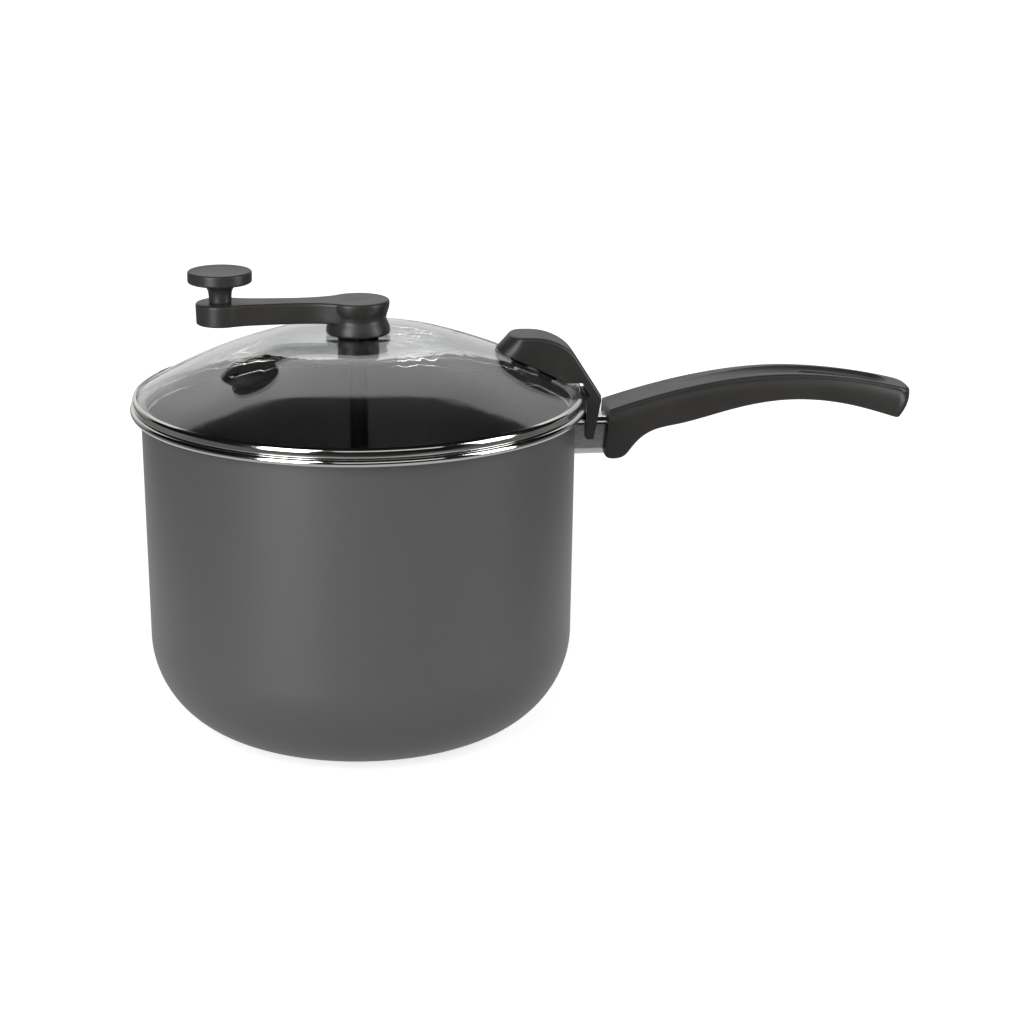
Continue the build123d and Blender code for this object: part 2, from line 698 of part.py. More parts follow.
# ---------------------------------------------------------------- knob
def knob_outline():
    """Half section of the knob: straight stem, flare, round-edged disc, dished top."""
    stem_top = (knob_stem_r, knob_bottom_z + knob_stem)
    neck = (knob_neck[0], knob_bottom_z + knob_neck[1])
    disc_z = knob_top_z - knob_rim
    round_r = knob_r - knob_round
    low_round_z = disc_z + knob_round
    high_round_z = knob_top_z - knob_round
    dish = (0, knob_top_z - knob_dish)
    return [
        Polyline((0, knob_bottom_z), (knob_stem_r, knob_bottom_z), stem_top),
        Spline(stem_top, neck, (knob_flare_r, disc_z), tangents=[(0, 1), knob_flare_run]),
        Line((knob_flare_r, disc_z), (round_r, disc_z)),
        CenterArc((round_r, low_round_z), knob_round, -90, 90),
        Line((knob_r, low_round_z), (knob_r, high_round_z)),
        CenterArc((round_r, high_round_z), knob_round, 0, 90),
        Spline((round_r, knob_top_z), dish, tangents=[knob_dish_run, (-1, 0)]),
        Line(dish, (0, knob_bottom_z)),
    ]


def knob_pin_outline(gap):
    """Half section of the pin that carries the knob: groove near its top, grown by a gap."""
    top_z = knob_bottom_z + knob_pin_reach + gap
    low_z = arm_top_z - knob_pin_depth
    radius = knob_pin_r + gap
    neck_r = knob_pin_neck_r + gap
    bevel = knob_pin_r - knob_pin_neck_r
    groove_z = knob_bottom_z + knob_pin_groove_at + gap
    groove_top_z = knob_bottom_z + knob_pin_groove_at + knob_pin_groove - gap
    groove = [(radius, groove_z), (neck_r, groove_z + bevel)]
    groove += [(neck_r, groove_top_z), (radius, groove_top_z + bevel)]
    ends = [(radius, top_z), (0, top_z)]
    return [Polyline((0, low_z), (radius, low_z), *groove, *ends, close=True)]


def crank_knob():
    """Turned knob that spins on its pin; a rib inside snaps into the pin's groove."""
    knob = turned(knob_outline()) - turned(knob_pin_outline(running_gap))
    return Pos(-crank_length, 0, 0) * knob


def knob_pin():
    """Grooved pin pressed into the arm's end."""
    return Pos(-crank_length, 0, 0) * turned(knob_pin_outline(0))


def knob_washer_ring():
    """Thin washer on the pin, between the knob and the arm."""
    return Pos(-crank_length, 0, 0) * ring(
        knob_washer_r, knob_pin_r + running_gap, arm_top_z, arm_top_z + knob_washer
    )


# ---------------------------------------------------------------- handle
def guard_section(inset):
    """Rounded rectangle of the flame guard, in the plane square to X."""
    width = guard_width - 2 * inset
    height = guard_height - 2 * inset
    return RectangleRounded(width, height, guard_corner - inset)


def grip_face_cut(gap):
    """Space on the pan's side of the grip's slanted face, moved towards the grip by a gap."""
    rise = face_top[1] - face_bottom[1]
    run = face_top[0] - face_bottom[0]
    low_z = face_bottom[1] - rise
    high_z = face_top[1] + rise
    low = (face_bottom[0] + gap - run, low_z)
    high = (face_top[0] + gap + run, high_z)
    outline = Polyline((0, low_z), low, high, (0, high_z), close=True)
    return side_plate([outline], 4 * guard_width)


def pan_side(gap):
    """The pan's outer wall grown by a gap, as a tool."""
    low = (foot_r + gap, corner_r)
    high = (mouth_r + gap, neck_z)
    return turned([Polyline((0, corner_r), low, high, (0, neck_z), close=True)])


def flame_guard():
    """Polished rounded tube between the pan's wall and the grip."""
    length = face_top[0] + grip_root_width
    frame = Plane(origin=(0, 0, guard_z), x_dir=(0, 1, 0), z_dir=(1, 0, 0))
    tube = extrude(frame * (guard_section(0) - guard_section(guard_sheet)), amount=length)
    tube &= grip_face_cut(-guard_gap)
    return tube - pan_side(guard_gap)


def handle_bracket():
    """Bracket spot welded to the pan: a curved pad, and a bar with a threaded hole."""
    room = 2 * (guard_sheet + guard_gap)
    pad = Box(2 * face_top[0], bracket_width + guard_sheet, guard_height - room - guard_corner)
    pad = Pos(face_top[0], 0, guard_z) * pad
    pad &= pan_side(bracket_gap + bracket_pad) - pan_side(bracket_gap)
    inner_x = wall_r(bracket_z) + bracket_gap + bracket_pad / 2
    bar = Box(bracket_reach_x - inner_x, bracket_width, bracket_bar, align=ALONG_X)
    bar = Pos(inner_x, 0, bracket_z) * bar
    bar = fillet(bar.edges().filter_by(Axis.Z).group_by(Axis.X)[-1], bracket_bar / 2)
    hole = Pos(handle_screw_x, 0, bracket_z) * Cylinder(handle_screw_r + thread_gap, 2 * bracket_bar)
    return pad + bar - hole


def grip_side():
    """Side outline of the grip, open past its end: arched top, hollow underside, round heel."""
    top_end = from_guard(grip_top_end)
    under_end = from_guard(grip_under_end)
    top = Spline(face_top, *grip_crest, top_end)
    heel_start = from_guard(heel_back)
    under = Spline([under_end, *grip_belly, heel_start], tangents=[under_run, heel_fall])
    heel_line = [heel_start, (heel_x, heel_z), face_bottom]
    heel = Spline(heel_line, tangents=[heel_fall, heel_rise])
    return [top, Line(top_end, under_end), under, heel, Line(face_bottom, face_top)]


def grip_plan(z):
    """Plan of the grip at a height: tapered sides, and an end with round corners."""
    end_x = tip_x - grip_end_bow * (z - tip_z) ** 2
    corner_x = end_x - grip_tip_bulge
    start_x = face_bottom[0] - PAST
    root = grip_root_width / 2
    taper = (grip_root_width - grip_tip_width) / 2 / (tip_x - start_x)
    tip = root - taper * (corner_x - start_x)
    end = ThreePointArc((corner_x, tip), (end_x, 0), (corner_x, -tip))
    sides = Polyline((corner_x, -tip), (start_x, -root), (start_x, root), (corner_x, tip))
    plan = inside([end, sides])
    plan = fillet(plan.vertices().group_by(Axis.X)[-1], grip_tip_r)
    return Pos(0, 0, z) * plan


def grip_block():
    """Solid that gives the grip its tapered sides and its bowed, slanted end."""
    low_z = heel_z - PAST
    rise = thumb_crest[1] + PAST - low_z
    heights = [low_z + rise * index / (grip_stations - 1) for index in range(grip_stations)]
    return loft([grip_plan(z) for z in heights])


def thumb_groove_tool():
    """Bent bar with ball ends that hollows the grip's top along its arch."""
    centre = (thumb_crest[0] + thumb_groove_shift, thumb_crest[1] - thumb_groove_path_r)
    section_z = thumb_crest[1] + thumb_groove_r - thumb_groove
    half_angle = math.degrees(thumb_groove_half / thumb_groove_path_r)
    axis = Axis((centre[0], 0, centre[1]), (0, 1, 0))
    section = Plane(origin=(centre[0], 0, section_z), z_dir=(1, 0, 0)) * Circle(thumb_groove_r)
    tool = revolve(section.rotate(axis, -half_angle), axis=axis, revolution_arc=2 * half_angle)
    ball = Pos(centre[0], 0, section_z) * Sphere(thumb_groove_r)
    return tool + ball.rotate(axis, -half_angle) + ball.rotate(axis, half_angle)


def handle_grip():
    """Moulded grip: arched, hollowed for the thumb, with a hanging slot and a screwed heel."""
    grip = side_plate(grip_side(), 2 * grip_root_width) & grip_block()
    grip = fillet([edge for edge in grip.edges() if is_grip_rim(edge, True)], grip_edge)
    grip = fillet([edge for edge in grip.edges() if is_grip_rim(edge, False)], grip_lower_edge)
    grip -= thumb_groove_tool()
    slot = Pos(slot_centre_x, 0, heel_z) * SlotOverall(slot_length, slot_width)
    grip -= extrude(slot, amount=4 * guard_height)
    grip = fillet([edge for edge in grip.edges() if is_slot_rim(edge)], slot_edge)
    return grip - bracket_socket() - handle_screw_hole()


def is_grip_rim(edge, upper):
    """True for the long edges of the grip's top face, or of its underside and heel."""
    middle = edge @ 0.5
    along_grip = edge.length > (tip_x - face_top[0]) / 2
    beside = abs(middle.Y) > grip_tip_width / 4
    on_top = middle.Z > (thumb_crest[1] + grip_belly[1][1]) / 2
    return along_grip and beside and on_top == upper


def is_slot_rim(edge):
    """True for the edges of the hanging slot's upper rim."""
    middle = edge @ 0.5
    along = abs(middle.X - slot_centre_x) < slot_length / 2 + LEVEL
    across = abs(middle.Y) < slot_width / 2 + LEVEL
    upper = middle.Z > (grip_crest[3][1] + grip_belly[0][1]) / 2
    upright = abs((edge @ 0).Z - (edge @ 1).Z) > edge.length / 2
    return along and across and upper and not upright


def bracket_socket():
    """Room for the bracket's bar inside the grip."""
    room = 2 * bracket_hole_gap
    length = bracket_reach_x + room - mouth_r
    return Pos(mouth_r, 0, bracket_z) * Box(length, bracket_width + room, bracket_bar + room, align=ALONG_X)


def handle_screw_hole():
    """Counterbored hole up through the heel into the bracket's bar."""
    seat_z = heel_z + handle_screw_sink + handle_screw_head + handle_washer_sheet
    sink = ring(handle_screw_head_r + handle_screw_head_gap, 0, heel_z - PAST, seat_z)
    shank = ring(handle_screw_r + bracket_hole_gap, 0, heel_z, bracket_z + bracket_bar)
    return Pos(handle_screw_x, 0, 0) * (sink + shank)


def handle_screw():
    """Screw up through the heel into the bracket's threaded hole."""
    head_z = heel_z + handle_screw_sink
    head = Pos(0, 0, head_z) * Cylinder(handle_screw_head_r, handle_screw_head, align=FROM_BELOW)
    head = fillet(head.edges().sort_by(Axis.Z)[0], handle_screw_head_round)
    shank_top_z = bracket_z + bracket_bar / 2 + handle_washer_sheet
    shank = Pos(0, 0, head_z) * Cylinder(handle_screw_r, shank_top_z - head_z, align=FROM_BELOW)
    return Pos(handle_screw_x, 0, 0) * (head + shank)


def handle_washer():
    """Spring washer under the screw's head."""
    low_z = heel_z + handle_screw_sink + handle_screw_head
    return Pos(handle_screw_x, 0, 0) * ring(
        handle_screw_head_r, handle_screw_r + thread_gap, low_z, low_z + handle_washer_sheet
    )


def build_all():
    """Every node by name."""
    return {
        "pan_body": pan_body(),
        "handle_bracket": handle_bracket(),
        "flame_guard": flame_guard(),
        "handle_grip": handle_grip(),
        "handle_screw": handle_screw(),
        "handle_washer": handle_washer(),
        "lid_glass": lid_glass(),
        "lid_band": lid_band(),
        "lid_clip": lid_clip(),
        "clip_gasket": clip_gasket(),
        "clip_screws": clip_screws(),
        "clip_washers": clip_washers(),
        "hub_bush": hub_bush(),
        "upper_gasket": upper_gasket(),
        "lower_gasket": lower_gasket(),
        "hub_nut": hub_nut(),
        "thrust_washer": thrust_washer(),
        "retaining_ring": retaining_ring(),
        "drive_shaft": drive_shaft(),
        "crank_arm": crank_arm(),
        "stirrer_hub": stirrer_hub(),
        "stirrer_wire_left": stirrer_wire(180),
        "stirrer_wire_right": stirrer_wire(0),
        "stirrer_pin": stirrer_pin(),
        "crank_knob": crank_knob(),
        "knob_pin": knob_pin(),
        "knob_washer": knob_washer_ring(),
    }


os.makedirs("parts", exist_ok=True)
for name, shape in build_all().items():
    export_step(shape, f"parts/{name}.step")
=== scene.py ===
"""Looks of a hand cranked stovetop popcorn popper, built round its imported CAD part."""

import math

import bmesh
import bpy
from mathutils import Matrix, Vector


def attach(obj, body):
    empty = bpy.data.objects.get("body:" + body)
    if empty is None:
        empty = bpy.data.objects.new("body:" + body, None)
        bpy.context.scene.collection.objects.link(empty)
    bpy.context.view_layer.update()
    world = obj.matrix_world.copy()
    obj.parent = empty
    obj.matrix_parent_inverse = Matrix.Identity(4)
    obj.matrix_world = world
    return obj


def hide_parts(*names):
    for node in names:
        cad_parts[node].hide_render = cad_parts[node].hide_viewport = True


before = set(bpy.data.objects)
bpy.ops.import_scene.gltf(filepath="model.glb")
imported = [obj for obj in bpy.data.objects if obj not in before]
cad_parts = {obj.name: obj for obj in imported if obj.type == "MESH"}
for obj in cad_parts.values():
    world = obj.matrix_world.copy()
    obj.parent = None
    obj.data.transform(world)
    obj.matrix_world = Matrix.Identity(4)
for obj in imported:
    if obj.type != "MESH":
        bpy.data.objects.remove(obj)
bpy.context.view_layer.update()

# ---------------------------------------------------------------- places, in metres
# The view: where the photograph was taken from, with the grip 7 degrees away from it.
VIEW_AZIMUTH = math.radians(7.0)
VIEW_PITCH = 0.28860
VIEW_ROLL = 0.004143
VIEW_PLACE = Vector((-0.09247, -1.39271, 0.52465))
VIEW_LENS = 99.47
VIEW_NEAR = 0.01
VIEW_FAR = 50
SENSOR = 36.0

# The pan: its section, and where its finish changes.
BASE_R = 0.0584
CORNER_R = 0.050
MOUTH_R = 0.110
SHEET = 0.0022
NECK_Z = 0.1651
BEAD_R = 0.0020
BEAD_AT = (0.1134, 0.1679)
BEAD_START = 198.0  # degrees from outwards, where the bead leaves the wall
BEAD_END = 450.0
MID_WALL = 0.0489  # middle of the sheet, from the corner's centre
WALL_SLANT = 0.0139
WALL_BLUR = 0.0002
RIM_R = 0.11065
RIM_Z = 0.1672
RIM_R_BLUR = 0.00012
RIM_Z_BLUR = 0.0003

# The lid's band.
BAND_R = 0.1141
BAND_BOTTOM = 0.1702
BAND_SHEET = 0.0006
BAND_BEND = 0.0008
BAND_SHOULDER = 0.17288
LIP_TIP = (0.11235, 0.17520)
LIP_ROOT = (0.11325, 0.17468)
LIP_UNDER_ROOT = (0.11295, 0.17416)
LIP_UNDER_TIP = (0.11205, 0.17469)
LIP_FALL = (0.863, -0.505)  # direction of the lip's slope
SKIRT_R = 0.10705
SKIRT_BOTTOM = 0.1632
FOLD_R = 0.0014  # inside of the fold between the shelf and the skirt
HEM_R = 0.0007  # rolled hem of the skirt
HEM_TURN = -258.0  # degrees
HEM_TOP = 2.2 * HEM_R  # where the skirt's inside meets the hem, over the skirt's bottom

# The grip's arched top edge, for the soft crowning of its sides: its highest place, and how
# fast it falls before and after that place, per metre.
ARCH_X = 0.218
ARCH_Z = 0.1806
ARCH_BEFORE = 1.96
ARCH_AFTER = 2.4
GRIP_EDGE = 0.0016
CROWN_DEPTH = 0.0030
CROWN_REACH = 0.0036

# How finely the turned pieces are divided.
STEPS = 320  # round the axis
SHARP = math.radians(32.0)
BEAD_STEPS = 40
CORNER_STEPS = 36
NECK_STEPS = 6
INNER_NECK_STEPS = 14
BEND_STEPS = 6
INNER_BEND_STEPS = 4
UNDER_FOLD_STEPS = 6
FOLD_STEPS = 10
HEM_STEPS = 18
SHOULDER_STEPS = 8
INNER_SHOULDER_STEPS = 6

# ---------------------------------------------------------------- levels of the materials
# Noise scales are per metre and bump heights in metres.
LOW, HIGH = 0.3, 0.7  # the part of a noise's range that most of it lies in

WARMTH = 0.05
MOULD_IOR = 1.44
MOULD_SPREAD = 0.15  # of the tone, either way
MOULD_GLOSS_SPREAD = 0.03
MOULD_FINE_ROUGH = 0.04
MOULD_GRAIN = 0.00001
MOULD_CLOUD_SCALE = 60.0
MOULD_FINE_SCALE = 2600.0
MOULD_COARSE_SCALE = 900.0

STEEL_LINES = 0.0000006
STEEL_LINE_SCALE = 5200.0
STEEL_ROUND = 0.0004  # how slowly the lines change round the axis
BRUSH_ALONG = 0.05  # how slowly the brushing changes along X

SATIN_LOW, SATIN_HIGH, SATIN_GRAIN = 0.051, 0.056, 0.060
COATING, COATING_FLECK = 0.135, 0.19
COATING_ROUGH, SATIN_ROUGH = 0.40, 0.36
RIM_COLOUR = (0.78, 0.78, 0.77, 1.0)

GLASS_LOW = (0.765, 0.78, 0.77, 1.0)
GLASS_HIGH = (0.785, 0.80, 0.79, 1.0)

BAND_COLOUR = (0.80, 0.79, 0.76, 1.0)
GUARD_COLOUR = (0.70, 0.72, 0.75, 1.0)
BRACKET_COLOUR = (0.55, 0.55, 0.56, 1.0)
SCREW_COLOUR = (0.62, 0.62, 0.62, 1.0)
# Steel screws and washers under the clip, coloured near-black as painted shade for the dark band
# under the clip.
SCREW_PAINTED_SHADE_COLOUR = (0.035, 0.035, 0.037, 1.0)


# ---------------------------------------------------------------- camera
def make_camera():
    """The photograph's viewpoint, at a fixed place in the row frame."""
    turn = Matrix.Rotation(-VIEW_AZIMUTH, 3, "Z")
    forward = turn @ Vector((0, math.cos(VIEW_PITCH), -math.sin(VIEW_PITCH)))
    up = turn @ Vector((0, math.sin(VIEW_PITCH), math.cos(VIEW_PITCH)))
    right = turn @ Vector((1, 0, 0))
    c, s = math.cos(VIEW_ROLL), math.sin(VIEW_ROLL)
    right, up = right * c + up * s, up * c - right * s
    data = bpy.data.cameras.new("camera")
    data.sensor_width = SENSOR
    data.lens = VIEW_LENS
    data.clip_start = VIEW_NEAR
    data.clip_end = VIEW_FAR
    cam = bpy.data.objects.new("camera", data)
    cam.matrix_world = Matrix(
        (
            (right.x, up.x, -forward.x, VIEW_PLACE.x),
            (right.y, up.y, -forward.y, VIEW_PLACE.y),
            (right.z, up.z, -forward.z, VIEW_PLACE.z),
            (0, 0, 0, 1),
        )
    )
    bpy.context.scene.collection.objects.link(cam)
    bpy.context.scene.camera = cam


# ---------------------------------------------------------------- shader helpers
class Graph:
    """A node tree with short calls for the few nodes that these materials use."""

    def __init__(self, tree):
        self.tree = tree
        tree.nodes.clear()

    def node(self, kind, **settings):
        made = self.tree.nodes.new(kind)
        for key, value in settings.items():
            setattr(made, key, value)
        return made

    def link(self, source, target):
        self.tree.links.new(source, target)

    def put(self, target, value):
        """Sets a socket to a number or colour, or links another socket to it."""
        if isinstance(value, bpy.types.NodeSocket):
            self.link(value, target)
        else:
            target.default_value = value

    def math(self, operation, a, b=0.0, c=0.0):
        made = self.node("ShaderNodeMath", operation=operation)
        for socket, value in zip(made.inputs, (a, b, c)):
            self.put(socket, value)
        return made.outputs[0]

    def add(self, a, b):
        return self.math("ADD", a, b)

    def less(self, a, b):
        return self.math("SUBTRACT", a, b)

    def times(self, a, b):
        return self.math("MULTIPLY", a, b)

    def larger(self, a, b):
        return self.math("MAXIMUM", a, b)

    def step(self, value, low, high, out_low=0.0, out_high=1.0):
        """Smooth step of a value from out_low at low to out_high at high."""
        made = self.node("ShaderNodeMapRange", interpolation_type="SMOOTHSTEP")
        for name, given in zip(
            ("Value", "From Min", "From Max", "To Min", "To Max"),
            (value, low, high, out_low, out_high),
        ):
            self.put(made.inputs[name], given)
        return made.outputs[0]

    def mix(self, share, a, b):
        """Colour a at share 0 and colour b at share 1."""
        made = self.node("ShaderNodeMix", data_type="RGBA")
        self.put(made.inputs[0], share)
        self.put(made.inputs[6], a)
        self.put(made.inputs[7], b)
        return made.outputs[2]

    def mix_value(self, share, a, b):
        """Number a at share 0 and number b at share 1."""
        made = self.node("ShaderNodeMix", data_type="FLOAT")
        self.put(made.inputs[0], share)
        self.put(made.inputs[2], a)
        self.put(made.inputs[3], b)
        return made.outputs[0]

    def noise(self, vector, scale, detail=2.0, roughness=0.5):
        made = self.node("ShaderNodeTexNoise")
        self.link(vector, made.inputs["Vector"])
        made.inputs["Scale"].default_value = scale
        made.inputs["Detail"].default_value = detail
        made.inputs["Roughness"].default_value = roughness
        return made.outputs["Fac"]

    def bump(self, height, distance, strength=1.0, normal=None):
        made = self.node("ShaderNodeBump")
        made.inputs["Strength"].default_value = strength
        made.inputs["Distance"].default_value = distance
        self.link(height, made.inputs["Height"])
        if normal is not None:
            self.link(normal, made.inputs["Normal"])
        return made.outputs["Normal"]

    def place(self):
        """Object coordinates: a CAD node's are the row frame's, in metres."""
        return self.node("ShaderNodeTexCoord").outputs["Object"]

    def split(self, vector):
        made = self.node("ShaderNodeSeparateXYZ")
        self.link(vector, made.inputs[0])
        return made.outputs

    def join(self, x, y, z):
        made = self.node("ShaderNodeCombineXYZ")
        for socket, value in zip(made.inputs, (x, y, z)):
            self.put(socket, value)
        return made.outputs[0]

    def radius(self, axes):
        """Length of the first two of the given axes."""
        squares = [self.times(axis, axis) for axis in (axes[0], axes[1])]
        return self.math("SQRT", self.add(*squares))


def new_material(name, **constants):
    """A Principled material and its graph; constants go on the shader's own sockets."""
    made = bpy.data.materials.new(name)
    made.use_nodes = True
    graph = Graph(made.node_tree)
    shader = graph.node("ShaderNodeBsdfPrincipled")
    output = graph.node("ShaderNodeOutputMaterial")
    graph.link(shader.outputs[0], output.inputs["Surface"])
    for key, value in constants.items():
        shader.inputs[key.replace("_", " ")].default_value = value
    return made, graph, shader


def grey(value, warm=0.0):
    return (value * (1 + warm), value, value * (1 - warm), 1.0)


def dimmed(colour, share):
    return [c * share for c in colour[:3]] + [1.0]


# ---------------------------------------------------------------- materials
def moulded(name, level, gloss, crown=None):
    """Black moulded plastic: fine spark-eroded grain, slight cloudiness in its gloss.

    crown gives the height of a soft crowning of the sides from the graph and the place.
    """
    made, g, shader = new_material(name, IOR=MOULD_IOR)
    at = g.place()
    cloud = g.noise(at, MOULD_CLOUD_SCALE, 3.0)
    fine = g.noise(at, MOULD_FINE_SCALE, 3.0, 0.6)
    coarse = g.noise(at, MOULD_COARSE_SCALE, 2.0)
    dark = grey(level * (1 - MOULD_SPREAD), WARMTH)
    pale = grey(level * (1 + MOULD_SPREAD), WARMTH)
    g.link(g.mix(cloud, dark, pale), shader.inputs["Base Color"])
    rough = g.step(cloud, LOW, HIGH, gloss - MOULD_GLOSS_SPREAD, gloss + MOULD_GLOSS_SPREAD)
    rough = g.add(rough, g.times(fine, MOULD_FINE_ROUGH))
    g.link(rough, shader.inputs["Roughness"])
    height = g.add(fine, g.times(coarse, 0.6))
    normal = None if crown is None else g.bump(crown(g, at), 1.0)
    g.link(g.bump(height, MOULD_GRAIN, 0.6, normal), shader.inputs["Normal"])
    return made


def grip_crown(g, at):
    """Height, in metres, of the soft crowning of the grip's sides under its arched top edge."""
    x, y, z = g.split(at)
    before = g.math("MINIMUM", g.less(x, ARCH_X), 0.0)
    after = g.larger(g.less(x, ARCH_X), 0.0)
    fall_before = g.times(g.times(before, before), ARCH_BEFORE)
    fall_after = g.times(g.times(after, after), ARCH_AFTER)
    edge = g.less(ARCH_Z - GRIP_EDGE, g.add(fall_before, fall_after))
    under = g.larger(g.less(edge, z), 0.0)
    fade = g.math("EXPONENT", g.times(under, -1.0 / CROWN_REACH))
    return g.times(fade, -CROWN_DEPTH)


def turned_steel(name, colour, gloss):
    """Polished steel with very fine lines round the shared axis, as from a spinning wheel."""
    made, g, shader = new_material(name, Metallic=1.0)
    at = g.place()
    x, y, z = g.split(at)
    around = g.times(g.math("ARCTAN2", y, x), STEEL_ROUND)
    rings = g.noise(g.join(g.radius((x, y)), z, around), STEEL_LINE_SCALE, 2.0)
    cloud = g.noise(at, 45.0, 2.0)
    g.link(g.mix(cloud, dimmed(colour, 0.97), colour), shader.inputs["Base Color"])
    rough = g.step(cloud, LOW, HIGH, gloss * 0.85, gloss * 1.15)
    g.link(g.add(rough, g.times(rings, 0.03)), shader.inputs["Roughness"])
    g.link(g.bump(rings, STEEL_LINES, 0.35), shader.inputs["Normal"])
    return made


def brushed_steel(name, colour, gloss):
    """Plain steel of fasteners and brackets, brushed along X."""
    made, g, shader = new_material(name, Metallic=1.0)
    at = g.place()
    x, y, z = g.split(at)
    streaks = g.noise(g.join(g.times(x, BRUSH_ALONG), y, z), 3200.0, 3.0)
    cloud = g.noise(at, 120.0, 2.0)
    g.link(g.mix(cloud, dimmed(colour, 0.9), colour), shader.inputs["Base Color"])
    rough = g.step(streaks, LOW, HIGH, gloss - 0.05, gloss + 0.08)
    g.link(rough, shader.inputs["Roughness"])
    g.link(g.bump(streaks, 0.000004, 0.5), shader.inputs["Normal"])
    return made


def pan_finish():
    """Satin grey outside, stone-flecked coating inside, polished rolled rim."""
    made, g, shader = new_material("pan_finish", IOR=1.55, Specular_IOR_Level=0.85)
    at = g.place()
    x, y, z = g.split(at)
    r = g.radius((x, y))
    past_base = g.larger(g.less(r, BASE_R), 0.0)
    under_corner = g.larger(g.less(CORNER_R, z), 0.0)
    depth = g.radius((past_base, under_corner))
    slant = g.times(g.larger(g.less(z, CORNER_R), 0.0), WALL_SLANT)
    outside = g.step(g.less(depth, slant), MID_WALL - WALL_BLUR, MID_WALL + WALL_BLUR)
    outer_rim = g.step(r, RIM_R - RIM_R_BLUR, RIM_R + RIM_R_BLUR)
    rim = g.larger(outer_rim, g.step(z, RIM_Z, RIM_Z + RIM_Z_BLUR))
    cloud = g.noise(at, 14.0, 3.0)
    fleck = g.noise(at, 700.0, 2.0, 0.7)
    grain = g.noise(at, 2400.0, 2.0)
    satin = g.mix(cloud, grey(SATIN_LOW), grey(SATIN_HIGH))
    satin = g.mix(g.step(grain, 0.45, 0.75), satin, grey(SATIN_GRAIN))
    coating = g.mix(g.step(fleck, 0.62, 0.72), grey(COATING), grey(COATING_FLECK))
    paint = g.mix(outside, coating, satin)
    g.link(g.mix(rim, paint, RIM_COLOUR), shader.inputs["Base Color"])
    g.link(rim, shader.inputs["Metallic"])
    rough = g.step(outside, 0.0, 1.0, COATING_ROUGH, SATIN_ROUGH)
    rough = g.add(rough, g.times(cloud, 0.04))
    g.link(g.mix_value(rim, rough, g.times(grain, 0.16)), shader.inputs["Roughness"])
    soft = g.times(grain, g.less(1.0, rim))
    g.link(g.bump(soft, 0.000006, 0.5), shader.inputs["Normal"])
    return made


def clear_glass():
    """Tempered glass, faintly green, with the slight waviness of a pressed lid."""
    made, g, shader = new_material(
        "clear_glass", IOR=1.47, Transmission_Weight=1.0, Roughness=0.0
    )
    at = g.place()
    g.link(g.mix(g.noise(at, 9.0, 2.0), GLASS_LOW, GLASS_HIGH), shader.inputs["Base Color"])
    g.link(g.bump(g.noise(at, 26.0, 1.0), 0.000008, 0.3), shader.inputs["Normal"])
    return made


def silicone():
    """Dark silicone rubber."""
    made, g, shader = new_material("silicone", IOR=1.41)
    at = g.place()
    fine = g.noise(at, 1800.0, 2.0)
    g.link(g.mix(fine, grey(0.022), grey(0.034)), shader.inputs["Base Color"])
    g.link(g.step(fine, LOW, HIGH, 0.55, 0.68), shader.inputs["Roughness"])
    g.link(g.bump(fine, 0.00001, 0.5), shader.inputs["Normal"])
    return made


def cast_metal():
    """Turned light alloy of the stirrer's hub."""
    made, g, shader = new_material("cast_metal", Metallic=1.0)
    at = g.place()
    x, y, z = g.split(at)
    rings = g.noise(g.join(g.radius((x, y)), 0.0, z), 4200.0, 2.0)
    g.link(g.mix(rings, grey(0.5), grey(0.6)), shader.inputs["Base Color"])
    g.link(g.step(rings, LOW, HIGH, 0.28, 0.4), shader.inputs["Roughness"])
    g.link(g.bump(rings, 0.000006, 0.6), shader.inputs["Normal"])
    return made


def dress(material, *nodes):
    """Puts a material on CAD nodes, as the only slot of their meshes."""
    for name in nodes:
        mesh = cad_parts[name].data
        mesh.materials.clear()
        mesh.materials.append(material)


# ---------------------------------------------------------------- turned pieces
def arc(centre, radius, start, sweep, count):
    """Points of an arc in (radius, height), angles in degrees from outwards."""
    points = []
    for index in range(count + 1):
        angle = math.radians(start + sweep * index / count)
        points.append(
            (centre[0] + radius * math.cos(angle), centre[1] + radius * math.sin(angle))
        )
    return points


def sweep_curve(start, end, leave, arrive, count):
    """Points between two places on a cubic curve, with its directions at both ends."""
    span = math.hypot(end[0] - start[0], end[1] - start[1])
    points = []
    for index in range(1, count):
        t = index / count
        h00 = 2 * t**3 - 3 * t**2 + 1
        h10 = t**3 - 2 * t**2 + t
        h01 = 3 * t**2 - 2 * t**3
        h11 = t**3 - t**2
        points.append(
            tuple(
                h00 * start[k] + h10 * span * leave[k] + h01 * end[k] + h11 * span * arrive[k]
                for k in (0, 1)
            )
        )
    return points


def lathe(name, outline, closed, material):
    """Turned piece from its outline in (radius, height), closed or ending on the axis."""
    rings, verts, faces = [], [], []
    for r, z in outline:
        if r == 0:
            rings.append([len(verts)])
            verts.append((0, 0, z))
            continue
        rings.append(list(range(len(verts), len(verts) + STEPS)))
        for index in range(STEPS):
            angle = math.tau * index / STEPS
            verts.append((r * math.cos(angle), r * math.sin(angle), z))
    pairs = list(zip(rings, rings[1:]))
    if closed:
        pairs.append((rings[-1], rings[0]))
    for low, high in pairs:
        for index in range(STEPS):
            after = (index + 1) % STEPS
            corners = [low[index % len(low)], low[after % len(low)]]
            corners += [high[after % len(high)], high[index % len(high)]]
            faces.append(list(dict.fromkeys(corners)))
    mesh = bpy.data.meshes.new(name)
    mesh.from_pydata(verts, [], faces)
    shape = bmesh.new()
    shape.from_mesh(mesh)
    bmesh.ops.recalc_face_normals(shape, faces=shape.faces)
    shape.to_mesh(mesh)
    shape.free()
    mesh.shade_smooth()
    mesh.set_sharp_from_angle(angle=SHARP)
    mesh.materials.append(material)
    piece = bpy.data.objects.new(name, mesh)
    bpy.context.scene.collection.objects.link(piece)
    return piece


